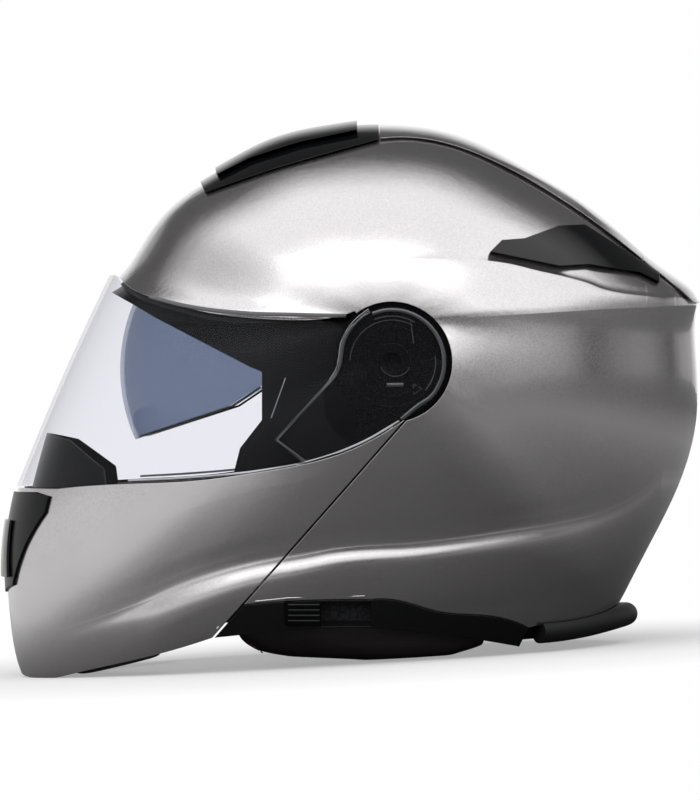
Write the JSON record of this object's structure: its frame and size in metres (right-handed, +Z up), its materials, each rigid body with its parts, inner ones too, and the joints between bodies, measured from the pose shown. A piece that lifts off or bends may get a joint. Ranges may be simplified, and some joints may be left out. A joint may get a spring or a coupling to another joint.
{
  "type": "modular motorcycle helmet",
  "caption": "Full-face helmet whose chin bar flips up about two side pivots, with clear visor, drop-down sun visor, vents, padded lining and buckled chin strap",
  "frame": {"origin": "centre of the helmet's footprint on the floor it stands on", "axes": "+Z up, -X is the front the wearer faces, -Y is the wearer's left"},
  "size_m": [0.3562, 0.2438, 0.2675],
  "materials": {
    "shell_paint": "moulded thermoplastic in silver metallic paint under clear coat",
    "gloss_black": "gloss black moulding",
    "satin_black": "fine satin black moulding",
    "clear_visor": "clear hard-coated polycarbonate",
    "tinted_visor": "smoke tinted polycarbonate",
    "liner_foam": "dark moulded foam",
    "comfort_cloth": "knitted lining cloth",
    "pad_leather": "grained leatherette with red stitching",
    "seal_rubber": "soft black rubber",
    "steel": "brushed steel",
    "webbing": "woven webbing",
    "red_lever": "red moulding",
    "arm_black": "glass-filled black moulding"
  },
  "bodies": {
    "shell": {"outer_shell": "shell_paint", "eyeport_frame": "satin_black", "brow_seal": "seal_rubber", "impact_liner": "liner_foam", "comfort_liner": "comfort_cloth", "rim_trim": "seal_rubber", "neck_roll": "pad_leather", "top_vent_base": "gloss_black", "buckle_body": "satin_black", "buckle_tongue": "satin_black", "pivot_plate_left": "arm_black", "sun_visor_pin_left": "steel", "side_trim_left": "satin_black", "rear_vent_left": "gloss_black", "striker_pin_left": "steel", "cheek_block_left": "liner_foam", "strap_anchor_left": "steel", "chin_strap_left": "webbing", "cheek_pad_left": "pad_leather", "pivot_plate_right": "arm_black", "sun_visor_pin_right": "steel", "side_trim_right": "satin_black", "rear_vent_right": "gloss_black", "striker_pin_right": "steel", "cheek_block_right": "liner_foam", "strap_anchor_right": "steel", "chin_strap_right": "webbing", "cheek_pad_right": "pad_leather"},
    "chin_bar": {"chin_shell": "shell_paint", "chin_liner": "liner_foam", "breath_guard": "satin_black", "chin_seal": "seal_rubber", "front_vent_frame": "satin_black", "chin_curtain": "comfort_cloth", "pivot_arm_left": "arm_black", "pivot_arm_right": "arm_black", "latch_housing_left": "satin_black", "latch_housing_right": "satin_black"},
    "visor": {"visor_lens": "clear_visor"},
    "sun_visor": {"sun_visor_lens": "tinted_visor"},
    "slider": {"sun_visor_slider": "satin_black"},
    "top_cover": {"top_vent_cover": "gloss_black"},
    "front_shutter": {"front_vent_shutter": "satin_black"},
    "lever": {"release_lever": "red_lever"},
    "fork_left": {"latch_fork_left": "steel"},
    "fork_right": {"latch_fork_right": "steel"},
    "buckle_flap": {"buckle_lever": "red_lever"}
  },
  "joints": [
    {"name": "chin_bar_flip", "type": "hinge", "parent": "shell", "child": "chin_bar", "pos_m": [0.02191, 0, 0.1455], "axis": [0, 1, 0], "range_deg": [0, 80]},
    {"name": "visor_lift", "type": "hinge", "parent": "chin_bar", "child": "visor", "pos_m": [0.02191, 0, 0.1455], "axis": [0, 1, 0], "range_deg": [0, 40]},
    {"name": "sun_visor_swing", "type": "hinge", "parent": "shell", "child": "sun_visor", "pos_m": [-0.02787, 0, 0.14552], "axis": [0, 1, 0], "range_deg": [0, 42]},
    {"name": "sun_visor_slide", "type": "slide", "parent": "shell", "child": "slider", "axis": [0.9984, 0, -0.0567], "range_m": [0, 0.0236]},
    {"name": "top_vent_slide", "type": "hinge", "parent": "shell", "child": "top_cover", "pos_m": [0.01509, 0, 0.11183], "axis": [0, 1, 0], "range_deg": [0, 2.5]},
    {"name": "front_vent_slide", "type": "slide", "parent": "chin_bar", "child": "front_shutter", "axis": [-0.1263, 0, -0.992], "range_m": [0, 0.0045]},
    {"name": "release_pull", "type": "slide", "parent": "chin_bar", "child": "lever", "axis": [0.9984, 0, -0.0567], "range_m": [0, 0.005], "stiffness_N_per_m": 300},
    {"name": "latch_left", "type": "slide", "parent": "chin_bar", "child": "fork_left", "axis": [-0.8064, 0, 0.5913], "range_m": [0, 0.00501]},
    {"name": "latch_right", "type": "slide", "parent": "chin_bar", "child": "fork_right", "axis": [-0.8064, 0, 0.5913], "range_m": [0, 0.00501]},
    {"name": "buckle_flip", "type": "hinge", "parent": "shell", "child": "buckle_flap", "pos_m": [0.00423, -0.0298, 0.01057], "axis": [-0.9984, 0, 0.0567], "range_deg": [0, 18], "stiffness_Nm_per_rad": 0.1}
  ],
  "couplings": [
    {"joint": "sun_visor_slide", "follows": "sun_visor_swing", "m_per_rad": 0.03206},
    {"joint": "latch_left", "follows": "release_pull", "ratio": 1},
    {"joint": "latch_right", "follows": "release_pull", "ratio": 1}
  ]
}
